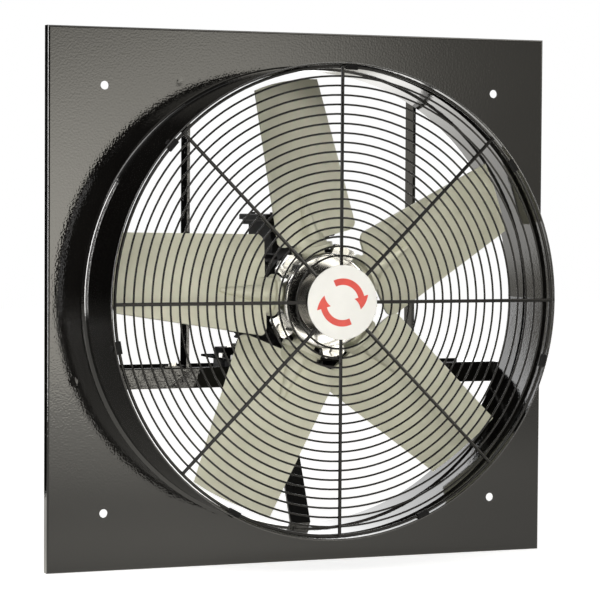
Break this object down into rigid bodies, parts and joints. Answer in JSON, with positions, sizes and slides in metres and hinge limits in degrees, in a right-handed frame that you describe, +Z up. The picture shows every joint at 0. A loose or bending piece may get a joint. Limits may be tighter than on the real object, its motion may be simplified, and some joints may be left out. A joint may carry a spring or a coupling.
{
  "type": "industrial axial fan",
  "caption": "Square wall-plate axial fan: drum shroud, concentric wire guard, clamped-hub impeller with adjustable blades and a foot-mounted motor on a shelf behind the plate.",
  "frame": {"origin": "on the fan axis, at the front face of the wall plate, which is the centre of its fixing holes", "axes": "+X to the right seen from the guard side, +Y back through the plate towards the wall, +Z up"},
  "size_m": [0.7, 0.2889, 0.7],
  "materials": {
    "gloss_black": "gloss black powder coat with fine orange peel",
    "guard_black": "gloss black coated wire",
    "badge_white": "satin off-white",
    "zinc_steel": "bright zinc",
    "rubber": "matt",
    "motor_paint": "satin black paint over castings",
    "core_steel": "laminated",
    "copper": "varnished copper wire",
    "bearing_steel": "ground",
    "black_plastic": "moulded",
    "hub_aluminium": "bright die casting",
    "blade_khaki": "satin glass-filled plastic"
  },
  "bodies": {
    "frame": {"wall_plate": "gloss_black", "shroud": "gloss_black", "motor_shelf": "gloss_black", "left_upright": "gloss_black", "right_upright": "gloss_black", "lower_brace": "gloss_black", "base_plate": "gloss_black", "guard_rings": "guard_black", "guard_spokes": "guard_black", "guard_disc": "guard_black", "guard_clips": "guard_black", "clip_rivets": "guard_black", "guard_badge": "badge_white", "frame_studs": "zinc_steel", "frame_nuts": "zinc_steel", "shelf_bolts": "zinc_steel", "shelf_nuts": "zinc_steel", "pad_bolts": "zinc_steel", "pad_nuts": "zinc_steel", "foot_bolts": "zinc_steel", "foot_nuts": "zinc_steel", "shield_bolts": "zinc_steel", "rubber_pads": "rubber", "terminal_gasket": "rubber", "motor_housing": "motor_paint", "front_shield": "motor_paint", "rear_shield": "motor_paint", "terminal_box": "motor_paint", "terminal_lid": "motor_paint", "lid_screws": "motor_paint", "stator_core": "core_steel", "stator_winding": "copper", "front_bearing_outer": "bearing_steel", "rear_bearing_outer": "bearing_steel", "bearing_spring": "bearing_steel", "terminal_block": "black_plastic", "cable_gland": "black_plastic"},
    "impeller": {"hub_bolts": "zinc_steel", "hub_nuts": "zinc_steel", "end_washer": "zinc_steel", "end_screw": "zinc_steel", "shaft_seal": "rubber", "rotor_core": "core_steel", "front_bearing_inner": "bearing_steel", "rear_bearing_inner": "bearing_steel", "bearing_balls": "bearing_steel", "motor_shaft": "bearing_steel", "shaft_key": "bearing_steel", "hub_bush": "bearing_steel", "hub_front_half": "hub_aluminium", "hub_rear_half": "hub_aluminium", "blade_1": "blade_khaki", "blade_2": "blade_khaki", "blade_3": "blade_khaki", "blade_4": "blade_khaki", "blade_5": "blade_khaki"}
  },
  "joints": [
    {"name": "impeller_spin", "type": "hinge", "parent": "frame", "child": "impeller", "pos_m": [0, 0, 0], "axis": [0, 1, 0], "continuous": true}
  ]
}
